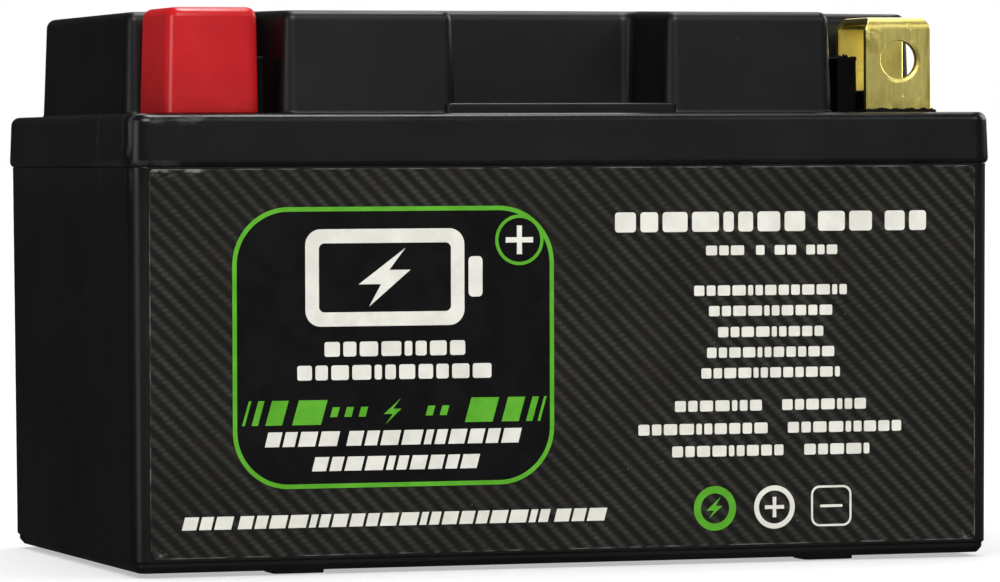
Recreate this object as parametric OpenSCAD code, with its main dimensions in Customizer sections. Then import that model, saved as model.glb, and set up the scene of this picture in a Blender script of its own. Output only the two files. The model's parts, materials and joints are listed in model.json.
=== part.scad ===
// Motorcycle starter battery, lithium iron phosphate, 12 V class.
// Units are millimetres. X runs along the front, Y from front to back, Z up.
// The origin is under the middle of the battery, level with its feet.

/* [View] */
// Which sub-part to draw, or all of them

/* [Envelope] */
// Length of the lid skirt, the longest size of the battery
lid_w = 150; // [120:0.5:180]
// Depth of the lid skirt
lid_d = 87; // [70:0.5:110]
// Height of the flat tops of the raised blocks
block_top = 91.5; // [85:0.1:110]
// Height of the deck, the low part of the lid
deck_top = 74.7; // [68:0.1:90]
// Height of the lower edge of the lid skirt
skirt_low = 66.1; // [58:0.1:72]

/* [Case] */
// Length of the case just above its foot step
case_w = 148; // [118:0.1:178]
// Depth of the case just above its foot step
case_d = 85; // [68:0.1:108]
// How far each case wall leans outward from bottom to top
case_flare = 0.4; // [0:0.1:2]
// Vertical corner radius of the case at its foot step
case_corner = 2.6; // [1.5:0.1:8]
// Height of the case shoulder that the skirt hides
shoulder = 65.6; // [57:0.1:71]
// Height of the case rim inside the lid
rim_top = 71.5; // [66:0.1:80]
// Inside length of the case
bay_w = 142.4; // [110:0.1:170]
// Inside depth of the case
bay_d = 79.4; // [60:0.1:100]
// Height of the inside floor
floor_top = 3.2; // [2:0.1:6]
// Height of the four moulded feet
foot_h = 0.6; // [0.3:0.1:2]

/* [Lid] */
// Vertical corner radius of the skirt at its lower edge
skirt_corner = 4; // [2:0.1:8]
// Radius along the upper edges of the skirt
skirt_edge = 1.5; // [0.5:0.1:3]
// Radius along the upper edges of the raised blocks
block_edge = 1.6; // [0.5:0.1:3]
// Vertical corner radius of the two front blocks
block_corner = 2.6; // [2.4:0.1:6]
// Vertical corner radius of the back block
back_corner = 5; // [2.4:0.1:8]
// Inward lean of lid walls, millimetres per millimetre of height
lean = 0.04; // [0:0.005:0.08]
// Distance from the middle to the inner side of a front block
block_in = 17.9; // [10:0.1:30]
// Distance from the middle to the outer side of a front block
block_out = 48.1; // [35:0.1:60]
// Distance from the middle to either end of the back block
back_out = 69.8; // [55:0.1:80]
// Front plane of the front blocks at the deck
block_front = -39; // [-50:0.1:-30]
// Front plane of the back block at the deck
back_front = -20.7; // [-30:0.1:-10]
// Back plane of the back block at the deck
back_rear = 38.3; // [25:0.1:50]
// Height of the low ledge between the front blocks
ledge_top = 76.3; // [74.8:0.1:80]
// Front plane of that ledge
ledge_front = -40.3; // [-50:0.1:-39]
// Height of the rib that keeps a nut from sliding inward
rib_top = 84; // [78:0.1:90]

/* [Terminals] */
// Distance from the middle to the middle of a terminal
post_x = 59.65; // [50:0.05:70]
// Width of the brass strip
strip_w = 11.8; // [8:0.1:16]
// Thickness of the brass strip
strip_t = 1.2; // [0.8:0.1:2]
// Front plane of the terminal
post_front = -38.3; // [-45:0.1:-30]
// Depth of the terminal from front plane to back plane
post_depth = 14.05; // [10:0.05:20]
// Height of the terminal's top
post_top = 90.6; // [85:0.1:100]
// Radius of the clearance hole for an M6 bolt
hole_r = 3.25; // [2.5:0.05:4.5]
// Height of the middle of that hole
hole_z = 83.5; // [78:0.1:88]
// Width of the terminal's tail inside the battery
tail_w = 8; // [5:0.5:11]
// Height of the lower end of that tail
tail_low = 60.5; // [55:0.5:66]

/* [Terminal cap] */
// Outside width of the cap
cap_w = 15.3; // [13:0.1:20]
// Front plane of the cap
cap_front = -40.1; // [-46:0.1:-38.8]
// Back plane of the cap
cap_rear = -21; // [-24:0.1:-18]
// Height of the cap's lower edge
cap_low = 74.9; // [74.7:0.1:78]
// Height of the cap's top
cap_top = 92.1; // [91:0.1:100]
// Thickness of the cap's side walls
cap_wall = 1.4; // [0.8:0.1:2]

/* [Cells] */
// Radius of a cell
cell_r = 13; // [8:0.1:17]
// Height of a cell with its button
cell_h = 65; // [50:0.1:68]
// Distance between neighbouring cell axes
pitch = 26.7; // [18:0.1:36]
// Height of the lower end of every cell
cell_low = 5.2; // [4:0.1:10]

/* [Hidden] */
slack = 0.05;
edge_steps = 5;
pack_y = (back_front + back_rear) / 2 - 0.05;
tray_x = 2 * pitch + 1.2;
tray_y = pitch + 1.2;
bay_top = 72.2;
bar_t = 0.5;
bar_low_z = cell_low - bar_t - 0.05;
bar_top_z = cell_low + cell_h;
bar_y = 21;
board_z = 77;
board_t = 1.6;
board_x = 52;
board_y = 26.4;
stud_y = 24.4;
strap_t = 0.8;
strap_low = 61;
strap_high = 68.5;
strap_x = 56.5;
screw_x = 60.3;
screw_z = tail_low + 4.2;
post_rear = post_front + post_depth;
wire_r = 0.7;
wire_y = 35.6;
wire_z = 81;

// Upright prism with rounded vertical corners.
module round_block(half_x, half_y, r, z0, z1) {
    translate([0, 0, z0]) linear_extrude(z1 - z0) {
        square([2 * (half_x - r), 2 * half_y], center = true);
        square([2 * half_x, 2 * (half_y - r)], center = true);
        for (sx = [-1, 1], sy = [-1, 1])
            translate([sx * (half_x - r), sy * (half_y - r)]) circle(r, $fn = 64);
    }
}

// Upright prism whose walls and corner radii all grow by the same amount from bottom to top.
module flared_block(half_x, half_y, r, grow, z0, z1) {
    h = z1 - z0;
    translate([0, 0, z0]) {
        rotate([90, 0, 0]) linear_extrude(2 * (half_y - r), center = true)
            polygon([[-half_x, 0], [half_x, 0], [half_x + grow, h], [-half_x - grow, h]]);
        rotate([90, 0, 90]) linear_extrude(2 * (half_x - r), center = true)
            polygon([[-half_y, 0], [half_y, 0], [half_y + grow, h], [-half_y - grow, h]]);
        for (sx = [-1, 1], sy = [-1, 1])
            translate([sx * (half_x - r), sy * (half_y - r), 0])
                cylinder(h = h, r1 = r, r2 = r + grow, $fn = 64);
    }
}

// Points along a rounded upper edge, from the leaning wall to the flat top.
function edge_arc(half, rise, edge, tilt) = let (
    k = sqrt(1 + tilt * tilt),
    cz = rise - edge,
    cx = half - tilt * cz - edge * k,
    a0 = atan(tilt))
    [for (i = [0:edge_steps]) let (a = a0 + (90 - a0) * i / edge_steps)
        [cx + edge * cos(a), cz + edge * sin(a)]];

// Face outline of a leaning wall pair with rounded upper edges.
module soft_outline(half, rise, edge, tilt) {
    arc = edge_arc(half, rise, edge, tilt);
    polygon(concat([[half, 0]], arc,
        [for (i = [edge_steps:-1:0]) [-arc[i][0], arc[i][1]]], [[-half, 0]]));
}

// The same outline from the axis outward, for turning into a corner.
module corner_outline(r, rise, edge, tilt) {
    polygon(concat([[0, 0], [r, 0]], edge_arc(r, rise, edge, tilt), [[0, rise]]));
}

// Block with leaning walls, round vertical corners and rounded upper edges.
module soft_block(x0, x1, y0, y1, z0, z1, corner, edge, tilt) {
    hx = (x1 - x0) / 2;
    hy = (y1 - y0) / 2;
    rise = z1 - z0;
    translate([(x0 + x1) / 2, (y0 + y1) / 2, z0]) {
        rotate([90, 0, 0]) linear_extrude(2 * (hy - corner), center = true)
            soft_outline(hx, rise, edge, tilt);
        rotate([90, 0, 90]) linear_extrude(2 * (hx - corner), center = true)
            soft_outline(hy, rise, edge, tilt);
        for (sx = [-1, 1], sy = [-1, 1])
            translate([sx * (hx - corner), sy * (hy - corner), 0])
                rotate_extrude($fn = 64) corner_outline(corner, rise, edge, tilt);
    }
}

// Plain box given by its low and high corners.
module span(low, high) {
    translate(low) cube(high - low);
}

// Tub: flared walls, a chamfered foot step, a rebated rim and four feet.
module case_shape() {
    difference() {
        union() {
            flared_block(case_w / 2 - 1.2, case_d / 2 - 1.2, case_corner - 0.8, 0.8,
                foot_h, foot_h + 1);
            round_block(case_w / 2 - 0.4, case_d / 2 - 0.4, case_corner, foot_h + 1, 3);
            flared_block(case_w / 2, case_d / 2, case_corner, case_flare, 2.4, shoulder);
            round_block(bay_w / 2 + 1.4, bay_d / 2 + 1.4, 2.4, shoulder - 1, rim_top);
            for (sx = [-1, 1], sy = [-1, 1])
                translate([sx * 46, sy * 37.5, foot_h / 2])
                    cube([8.8, 6, foot_h + 0.2], center = true);
        }
        round_block(bay_w / 2, bay_d / 2, 2, floor_top, rim_top + 1);
        translate([0, 0, -1]) cube([200, 200, 2], center = true);
    }
    for (sx = [-1, 1])
        translate([sx * (tray_x + 1), pack_y, floor_top + 1.4])
            cube([1.2, 40, 3.2], center = true);
}

module case() {
    color([0.09, 0.095, 0.11]) case_shape();
}

// Raised comb, ledge, nut ribs and terminal pads on the deck.
module lid_top() {
    sink = 1;
    soft_block(-back_out, back_out, back_front, back_rear, deck_top - sink, block_top,
        back_corner, block_edge, lean);
    for (s = [0, 1]) mirror([s, 0, 0]) {
        soft_block(block_in, block_out, block_front, -8, deck_top - sink, block_top,
            block_corner, block_edge, lean);
        span([post_x - strip_w / 2 - 4.1, post_front + 3, deck_top - sink],
            [post_x - strip_w / 2 - 0.25, post_front + 9.8, rib_top]);
        span([post_x - strip_w / 2 + 0.25, post_front + strip_t + 0.1, deck_top - sink],
            [post_x + strip_w / 2 - 0.35, post_rear - strip_t - 0.1, deck_top + 3.7]);
    }
    span([-block_in - 0.4, ledge_front, deck_top - sink],
        [block_in + 1.2, back_front + 1, ledge_top]);
    span([post_x - 6.6, post_front - 0.8, deck_top - sink], [post_x + 7, post_rear + 0.7, deck_top + 0.9]);
    span([-post_x - 5.95, post_front - 0.1, deck_top - sink],
        [-post_x + 5.95, post_rear + 0.7, deck_top + 0.9]);
}

// Hollows under the raised comb.
module lid_hollow() {
    translate([0, pack_y, 0])
        round_block(67.2, (back_rear - back_front) / 2 - 1.85, 3, bay_top - 1, block_top - 2.4);
    for (s = [-1, 1])
        span([s * (block_in + block_out) / 2 - 12.8, block_front + 2.3, bay_top - 1],
            [s * (block_in + block_out) / 2 + 12.8, back_front + 4, block_top - 2.4]);
}

module lid_shape() {
    difference() {
        union() {
            soft_block(-lid_w / 2, lid_w / 2, -lid_d / 2, lid_d / 2, skirt_low, deck_top,
                skirt_corner, skirt_edge, lean);
            lid_top();
        }
        round_block(bay_w / 2 + 1.7, bay_d / 2 + 1.7, 2.4, skirt_low - 1, bay_top);
        lid_hollow();
        for (s = [-1, 1]) translate([s * post_x, 0, 0]) {
            span([-strip_w / 2 - slack, post_front - slack, deck_top - 1.2],
                [strip_w / 2 + slack, post_front + strip_t + slack, deck_top + 1]);
            span([-strip_w / 2 - slack, post_rear - strip_t - slack, deck_top - 0.7],
                [strip_w / 2 + slack, post_rear + slack, deck_top + 1]);
            span([-tail_w / 2 - slack, post_rear - strip_t - slack, bay_top - 1],
                [tail_w / 2 + slack, post_rear + slack, deck_top]);
        }
    }
}

module lid() {
    color([0.09, 0.095, 0.11]) lid_shape();
}

// Bead of sealant on the case rim, under the deck.
module lid_seal() {
    color([0.32, 0.32, 0.33]) difference() {
        round_block(bay_w / 2 + 1.3, bay_d / 2 + 1.3, 2.3, rim_top, bay_top);
        round_block(bay_w / 2 + 0.2, bay_d / 2 + 0.2, 2, rim_top - 1, bay_top + 1);
    }
}

// Thin label that follows the lean of the front wall.
module front_label() {
    t = 0.2;
    z0 = 2.95;
    z1 = 65.4;
    k = case_flare / (shoulder - 2.4);
    y0 = -case_d / 2 - k * (z0 - 2.4);
    y1 = -case_d / 2 - k * (z1 - 2.4);
    color([0.12, 0.12, 0.11]) translate([-71.4, 0, 0]) rotate([90, 0, 90])
        linear_extrude(142.8)
            polygon([[y0, z0], [y1, z1], [y1 - t, z1], [y0 - t, z0]]);
}

// Loose protective cover over the positive terminal.
module terminal_cap() {
    x0 = -post_x - cap_w / 2;
    x1 = -post_x + cap_w / 2;
    color([0.78, 0.09, 0.12]) difference() {
        soft_block(x0, x1, cap_front, cap_rear, cap_low, cap_top, 1.8, 1.2, 0.02);
        span([x0 + cap_wall, cap_front + cap_wall, cap_low - 1],
            [x1 - cap_wall, cap_rear - cap_wall, cap_top - 1.2]);
        span([x1 - cap_wall - 1, post_front + 2.7, cap_low - 1],
            [x1 + 1, post_front + 10.1, rib_top + 0.3]);
    }
}

// Side outline of the bent brass strip: two legs and a top joined by round bends.
module strip_outline() {
    outer = 2;
    inner = outer - strip_t;
    depth = post_depth;
    top = post_top;
    difference() {
        union() {
            translate([0, deck_top - 1.2]) square([depth, top - outer - deck_top + 1.2]);
            translate([outer, top - outer - 1]) square([depth - 2 * outer, outer + 1]);
            translate([outer, top - outer]) circle(outer, $fn = 48);
            translate([depth - outer, top - outer]) circle(outer, $fn = 48);
        }
        translate([strip_t, deck_top - 2])
            square([depth - 2 * strip_t, top - outer - deck_top + 2]);
        translate([outer, top - outer - 1]) square([depth - 2 * outer, outer + 1 - strip_t]);
        translate([outer, top - outer]) circle(inner, $fn = 48);
        translate([depth - outer, top - outer]) circle(inner, $fn = 48);
    }
}

module terminal_shape() {
    difference() {
        union() {
            translate([-strip_w / 2, post_front, 0]) rotate([90, 0, 90])
                linear_extrude(strip_w) strip_outline();
            span([-tail_w / 2, post_rear - strip_t, tail_low],
                [tail_w / 2, post_rear, deck_top]);
        }
        translate([0, post_front + strip_t + 1, hole_z]) rotate([90, 0, 0])
            cylinder(h = 4, r = hole_r, $fn = 64);
        translate([screw_x - post_x, post_rear + 1, screw_z]) rotate([90, 0, 0])
            cylinder(h = 4, r = 2.1, $fn = 48);
        span([-strip_w, post_rear - strip_t - 1, deck_top - 2], [-tail_w / 2, post_rear + 1, deck_top - 0.7]);
        span([tail_w / 2, post_rear - strip_t - 1, deck_top - 2], [strip_w, post_rear + 1, deck_top - 0.7]);
        for (s = [0, 1]) mirror([s, 0, 0])
            translate([0, post_rear + 1, 0]) rotate([90, 0, 0]) linear_extrude(post_depth + 2)
                polygon([[strip_w / 2 - 0.95, post_top + 0.1], [strip_w / 2 + 1, post_top + 0.1],
                    [strip_w / 2 + 1, post_top - 1.9], [strip_w / 2, post_top - 1.9],
                    [strip_w / 2 - 0.65, post_top - 0.9]]);
    }
}

module positive_terminal() {
    color([0.72, 0.6, 0.28]) mirror([1, 0, 0]) translate([post_x, 0, 0]) terminal_shape();
}

module negative_terminal() {
    color([0.72, 0.6, 0.28]) translate([post_x, 0, 0]) terminal_shape();
}

// Potting block that closes the slot round a terminal tail from below.
module tail_seal() {
    difference() {
        span([-6, post_rear - 5, bay_top - 3], [6, post_rear + 3.6, bay_top]);
        span([-tail_w / 2, post_rear - strip_t, bay_top - 4],
            [tail_w / 2, post_rear, bay_top + 1]);
    }
}

module positive_seal() {
    color([0.12, 0.12, 0.13]) translate([-post_x, 0, 0]) tail_seal();
}

module negative_seal() {
    color([0.12, 0.12, 0.13]) translate([post_x, 0, 0]) tail_seal();
}

// Round cell with a crimped groove and a raised button.
module cell_shape() {
    rotate_extrude($fn = 64)
        polygon([[0, 0], [cell_r, 0], [cell_r, cell_h - 4.4], [cell_r - 0.7, cell_h - 3.8],
            [cell_r - 0.7, cell_h - 3.2], [cell_r, cell_h - 2.6], [cell_r, cell_h - 1.2],
            [6, cell_h - 1.2], [6, cell_h], [0, cell_h]]);
}

// Cell at a column and row of the pack, button up or down.
module cell_at(column, row, up) {
    color([0.16, 0.42, 0.62])
        translate([(column - 1.5) * pitch, pack_y + (row - 0.5) * pitch, cell_low])
            if (up) cell_shape();
            else translate([0, 0, cell_h]) mirror([0, 0, 1]) cell_shape();
}

module cell_1() { cell_at(0, 0, true); }
module cell_2() { cell_at(0, 1, true); }
module cell_3() { cell_at(1, 0, false); }
module cell_4() { cell_at(1, 1, false); }
module cell_5() { cell_at(2, 0, true); }
module cell_6() { cell_at(2, 1, true); }
module cell_7() { cell_at(3, 0, false); }
module cell_8() { cell_at(3, 1, false); }

// Round pockets for the eight cells.
module pockets(z0, z1) {
    for (column = [0:3], row = [0:1])
        translate([(column - 1.5) * pitch, pack_y + (row - 0.5) * pitch, z0])
            cylinder(h = z1 - z0, r = cell_r + 0.2, $fn = 64);
}

// Notch in a tray's back edge for the sense wires.
module wire_notch(z0, z1) {
    span([-4.2, pack_y + tray_y - 2.6, z0], [4.2, pack_y + tray_y + 1, z1]);
}

module lower_tray() {
    color([0.2, 0.21, 0.22]) difference() {
        translate([0, pack_y, 0]) round_block(tray_x, tray_y, 4, floor_top, floor_top + 8);
        pockets(cell_low - 0.02, floor_top + 9);
        for (s = [0, 1]) mirror([s, 0, 0]) {
            span([0.5, pack_y - bar_y - 0.2, bar_low_z], [2 * pitch - 0.8, pack_y + bar_y + 0.2, cell_low]);
            span([0.5, pack_y, bar_low_z], [4.3, pack_y + bar_y + 4.6, floor_top + 9]);
        }
        wire_notch(floor_top + 1, floor_top + 9);
    }
}

module upper_tray() {
    color([0.2, 0.21, 0.22]) difference() {
        union() {
            translate([0, pack_y, 0]) round_block(tray_x, tray_y, 4, 62, 69);
            for (sx = [-1, 1], sy = [-1, 1])
                translate([sx * pitch, pack_y + sy * stud_y, 62])
                    cylinder(h = board_z - 62, r = 2.5, $fn = 48);
        }
        pockets(61, 70);
        wire_notch(61, 70);
        for (sx = [-1, 1], sy = [-1, 1])
            translate([sx * pitch, pack_y + sy * stud_y, 66])
                cylinder(h = 20, r = 1.25, $fn = 32);
    }
}

// Nickel plate over two or four cell ends.
module bar_plate(x0, x1, z) {
    span([x0, pack_y - bar_y, z], [x1, pack_y + bar_y, z + bar_t]);
}

module bar_positive() {
    color([0.75, 0.74, 0.7]) {
        bar_plate(-strap_x, -28, bar_top_z);
        span([-strap_x, pack_y - bar_y, strap_low], [-strap_x + bar_t, pack_y + 4, bar_top_z + 0.1]);
    }
}

// Lower plate with a tab for its sense wire.
module low_bar() {
    bar_plate(0.8, 2 * pitch - 1, bar_low_z);
    span([0.8, pack_y, bar_low_z], [4, pack_y + bar_y + 3.3, bar_low_z + bar_t]);
}

module bar_1_2() {
    color([0.75, 0.74, 0.7]) mirror([1, 0, 0]) low_bar();
}

module bar_2_3() {
    color([0.75, 0.74, 0.7]) bar_plate(-25.4, 25.4, bar_top_z);
}

module bar_3_4() {
    color([0.75, 0.74, 0.7]) low_bar();
}

module bar_negative() {
    color([0.75, 0.74, 0.7]) bar_plate(28, 55.6, bar_top_z);
}

// Fibre sheet between the upper plates and the board.
module insulation_sheet() {
    color([0.55, 0.5, 0.38])
        span([-49.5, pack_y - 21.5, 70.95], [46.5, pack_y + 17.5, 71.35]);
}

module control_board() {
    color([0.1, 0.32, 0.2]) difference() {
        span([-board_x, pack_y - board_y, board_z], [board_x, pack_y + board_y, board_z + board_t]);
        for (sx = [-1, 1], sy = [-1, 1])
            translate([sx * pitch, pack_y + sy * stud_y, board_z - 1])
                cylinder(h = 4, r = 1.35, $fn = 32);
        span([-6.2, pack_y + board_y - 1.2, board_z - 1],
            [6.2, pack_y + board_y + 1, board_z + board_t + 1]);
    }
}

// Two rows of power transistors on the board.
module board_transistors() {
    z = board_z + board_t;
    color([0.07, 0.07, 0.08]) for (i = [0:5], j = [0:1])
        span([-18 + i * 10, pack_y - 14 + j * 13, z], [-11.5 + i * 10, pack_y - 7.9 + j * 13, z + 2.3]);
}

module board_resistors() {
    z = board_z + board_t;
    color([0.14, 0.14, 0.15]) for (i = [0:7])
        span([-46 + i * 6.6, pack_y + 12, z], [-42.8 + i * 6.6, pack_y + 18.3, z + 0.6]);
}

module board_chips() {
    z = board_z + board_t;
    color([0.06, 0.06, 0.07]) {
        span([-44, pack_y - 4, z], [-36, pack_y + 4, z + 1.4]);
        span([-33, pack_y - 17, z], [-28, pack_y - 11, z + 1.5]);
        translate([-40, pack_y - 14, z]) cylinder(h = 6.5, r = 3.2, $fn = 48);
    }
}

// Five-way plug for the sense wires.
module sense_connector() {
    z = board_z + board_t;
    color([0.85, 0.83, 0.76])
        span([-6.2, pack_y + 19.6, z], [6.2, pack_y + 25.2, z + 5.4]);
}

// One wire segment with rounded ends, between two points along one axis.
module wire(a, b) {
    d = b - a;
    long = max(abs(d[0]), abs(d[1]), abs(d[2]));
    turn = abs(d[0]) > 0 ? [0, 90, 0] : abs(d[1]) > 0 ? [90, 0, 0] : [0, 0, 0];
    translate((a + b) / 2) rotate(turn) cylinder(h = long, r = wire_r, center = true, $fn = 24);
    for (p = [a, b]) translate(p) sphere(wire_r + 0.05, $fn = 24);
}

// Wire from the plug over the board's edge, down to one height.
module wire_drop(x, z) {
    wire([x, pack_y + 26.1, wire_z], [x, wire_y, wire_z]);
    wire([x, wire_y, wire_z], [x, wire_y, z]);
}

module sense_wires() {
    top = bar_top_z + bar_t + wire_r + 0.1;
    low = bar_low_z + bar_t + wire_r + 0.1;
    color([0.75, 0.1, 0.1]) {
        wire_drop(0, top);
        wire([0, wire_y, top], [0, pack_y + bar_y - 1, top]);
        for (s = [-1, 1]) {
            wire_drop(s * 4.2, 74);
            wire([s * 4.2, wire_y, 74], [s * 4.2, pack_y + 20.2, 74]);
            wire([s * 4.2, pack_y + 20.2, 74], [s * 34, pack_y + 20.2, 74]);
            wire([s * 34, pack_y + 20.2, 74], [s * 34, pack_y + 20.2, top]);
            wire_drop(s * 2.1, low);
            wire([s * 2.1, wire_y, low], [s * 2.1, pack_y + bar_y + 2, low]);
        }
    }
}

module board_screws() {
    color([0.7, 0.7, 0.72]) for (sx = [-1, 1], sy = [-1, 1])
        translate([sx * pitch, pack_y + sy * stud_y, 0]) {
            translate([0, 0, 69]) cylinder(h = board_z + board_t - 69 + 0.2, r = 1.2, $fn = 32);
            difference() {
                translate([0, 0, board_z + board_t]) cylinder(h = 1.6, r = 2.1, $fn = 32);
                translate([0, 0, board_z + board_t + 1.2]) cube([2.6, 0.5, 2], center = true);
                translate([0, 0, board_z + board_t + 1.2]) cube([0.5, 2.6, 2], center = true);
            }
        }
}

// Hole for the M4 screw that joins a strap to its terminal tail.
module strap_hole() {
    translate([screw_x, post_rear + 4, screw_z]) rotate([90, 0, 0])
        cylinder(h = 6, r = 2.1, $fn = 48);
}

// Angle plate on the right-hand side, from a tail back along the pack.
module strap_plate(back_y) {
    x_out = post_x + tail_w / 2;
    translate([0, 0, strap_low]) linear_extrude(strap_high - strap_low)
        polygon([[strap_x, post_rear], [x_out, post_rear], [x_out, post_rear + strap_t],
            [strap_x + strap_t, post_rear + strap_t], [strap_x + strap_t, back_y],
            [strap_x, back_y]]);
}

module positive_strap() {
    color([0.75, 0.42, 0.25]) mirror([1, 0, 0]) difference() {
        strap_plate(pack_y + 3);
        strap_hole();
    }
}

module negative_strap() {
    top = board_z + board_t;
    color([0.75, 0.42, 0.25]) difference() {
        union() {
            strap_plate(2);
            span([strap_x, -8, strap_high - 1], [strap_x + strap_t, 2, top + strap_t]);
            span([46, -8, top], [strap_x + 0.1, 2, top + strap_t]);
        }
        strap_hole();
    }
}

// Strap from the pack's negative plate up to the board.
module pack_strap() {
    low = bar_top_z + bar_t;
    high = board_z + board_t;
    color([0.75, 0.42, 0.25]) {
        span([48, 12, low], [55.6, 22, low + strap_t]);
        span([54.8, 12, low], [55.6, 22, high + strap_t]);
        span([47, 12, high], [55.6, 22, high + strap_t]);
    }
}

// M4 screws through the straps and tails.
module strap_screws() {
    color([0.68, 0.68, 0.7]) for (x = [-screw_x, screw_x])
        translate([x, post_rear + strap_t, screw_z]) rotate([90, 0, 0]) {
            translate([0, 0, -0.1]) cylinder(h = 6.6, r = 1.95, $fn = 32);
            translate([0, 0, -2.2]) difference() {
                cylinder(h = 2.2, r = 2.9, $fn = 48);
                translate([0, 0, -1]) cylinder(h = 2.2, r = 1.5, $fn = 6);
            }
        }
}

module strap_nuts() {
    color([0.68, 0.68, 0.7]) for (x = [-screw_x, screw_x])
        translate([x, post_rear - strip_t, screw_z]) rotate([90, 0, 0])
            difference() {
                cylinder(h = 3.2, r = 4.04, $fn = 6);
                translate([0, 0, -1]) cylinder(h = 6, r = 2, $fn = 32);
            }
}

module foam_block(x0, x1, y0, y1) {
    color([0.24, 0.24, 0.26]) span([x0, y0, floor_top + 0.1], [x1, y1, 59.5]);
}

module foam_left() { foam_block(-71, -58.5, -18, 36); }
module foam_right() { foam_block(58.5, 71, -18, 36); }
module foam_front() { foam_block(-52, 52, -39.5, -20.6); }
module foam_back() { foam_block(-52, 52, 37.1, 39.6); }

case();
lid();
lid_seal();
front_label();
terminal_cap();
positive_terminal();
negative_terminal();
positive_seal();
negative_seal();
cell_1();
cell_2();
cell_3();
cell_4();
cell_5();
cell_6();
cell_7();
cell_8();
lower_tray();
upper_tray();
bar_positive();
bar_1_2();
bar_2_3();
bar_3_4();
bar_negative();
insulation_sheet();
control_board();
board_transistors();
board_resistors();
board_chips();
sense_connector();
sense_wires();
board_screws();
positive_strap();
negative_strap();
pack_strap();
strap_screws();
strap_nuts();
foam_left();
foam_right();
foam_front();
foam_back();
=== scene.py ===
"""Looks of the motorcycle battery: meshes, materials, light and camera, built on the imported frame."""

import json
import math
import random

import bmesh
import bpy
from mathutils import Matrix, Vector
from mathutils.geometry import tessellate_polygon


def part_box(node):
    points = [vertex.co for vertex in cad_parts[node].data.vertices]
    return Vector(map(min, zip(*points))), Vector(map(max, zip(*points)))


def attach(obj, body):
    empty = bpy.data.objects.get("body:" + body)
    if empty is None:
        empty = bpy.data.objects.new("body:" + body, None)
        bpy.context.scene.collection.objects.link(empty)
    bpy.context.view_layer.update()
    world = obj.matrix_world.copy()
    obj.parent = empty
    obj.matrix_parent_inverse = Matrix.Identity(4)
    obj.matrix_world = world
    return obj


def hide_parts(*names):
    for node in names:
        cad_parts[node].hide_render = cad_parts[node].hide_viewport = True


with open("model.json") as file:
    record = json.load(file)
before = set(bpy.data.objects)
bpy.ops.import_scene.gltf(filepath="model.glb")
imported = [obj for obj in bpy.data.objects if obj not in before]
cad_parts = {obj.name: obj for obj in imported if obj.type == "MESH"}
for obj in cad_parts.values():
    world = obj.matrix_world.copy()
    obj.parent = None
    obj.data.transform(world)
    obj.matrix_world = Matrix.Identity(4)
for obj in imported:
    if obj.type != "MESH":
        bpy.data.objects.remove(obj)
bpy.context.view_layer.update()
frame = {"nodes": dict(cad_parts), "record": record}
MM = 0.001

# Sizes in millimetres. They follow the CAD part to within a few tenths, with x, y and z as there.
CASE_X = 74
CASE_Y = 42.5
CASE_CORNER = 2.6
FOOT_LINE = 2.6
FLARE_START = 2.4
FLARE = 0.4 / 63.2
SHOULDER = 66.1
RIM = 71.5
INSIDE_X = 71.2
INSIDE_Y = 39.7

SKIRT_X = 75
SKIRT_Y = 43.5
SKIRT_LOW = 66.1
SKIRT_CORNER = 4.0
DECK = 74.7
LEAN = 0.04
BAY_TOP = 72.2
BLOCK_TOP = 91.5
BLOCK_EDGE = 1.6
COMB_X = 69.8
COMB_FRONT = -20.7
COMB_BACK = 38.3
BLOCK_IN = 17.9
BLOCK_OUT = 48.1
BLOCK_FRONT = -39

POST_X = 59.65
POST_FRONT = -38.3
POST_DEPTH = 14.05
POST_TOP = 90.6
POST_BEND = 2.0
STRIP_W = 11.8
STRIP_T = 1.2
HOLE_Z = 83.5
HOLE_R = 3.25

CAP_LOW = 74.76
CAP_TOP = 91.95
CAP_EDGE = 1.7

LABEL_X = 71.4
LABEL_LOW = 2.95
LABEL_HIGH = 65.75
LABEL_T = 0.2
TWILL_CELL = 0.724


# ---- mesh helpers

def outline(corners, inset=0.0, steps=6):
    """Points round a counter-clockwise right-angled outline with rounded corners, moved inward."""
    count = len(corners)
    points = []
    for i in range(count):
        before = Vector(corners[i - 1][:2])
        here = Vector(corners[i][:2])
        after = Vector(corners[(i + 1) % count][:2])
        radius = corners[i][2]
        d1 = (here - before).normalized()
        d2 = (after - here).normalized()
        side = 1 if d1.x * d2.y - d1.y * d2.x > 0 else -1
        n1 = Vector((-d1.y, d1.x))
        n2 = Vector((-d2.y, d2.x))
        r = max(radius - side * inset, 0.02)
        centre = here + (n1 + n2) * (inset + side * r)
        for k in range(steps + 1):
            a = math.pi / 2 * k / steps
            offset = n1 * math.cos(a) + n2 * math.sin(a)
            points.append(centre - offset * (side * r))
    return points


def box_corners(x0, x1, y0, y1, r):
    """Corners (x, y, radius) of a rectangle, counter-clockwise."""
    return [(x1, y0, r), (x1, y1, r), (x0, y1, r), (x0, y0, r)]


def ring(corners, inset, z, steps=6):
    """Closed ring of points round an outline, at one height."""
    return [(p.x, p.y, z) for p in outline(corners, inset, steps)]


def add_object(name, data):
    """New object in the scene."""
    obj = bpy.data.objects.new(name, data)
    bpy.context.scene.collection.objects.link(obj)
    return obj


def mesh_object(name, verts, faces):
    """New object with a mesh, from vertices in millimetres."""
    mesh = bpy.data.meshes.new(name)
    mesh.from_pydata([(x * MM, y * MM, z * MM) for x, y, z in verts], [], faces)
    mesh.update()
    return add_object(name, mesh)


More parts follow.
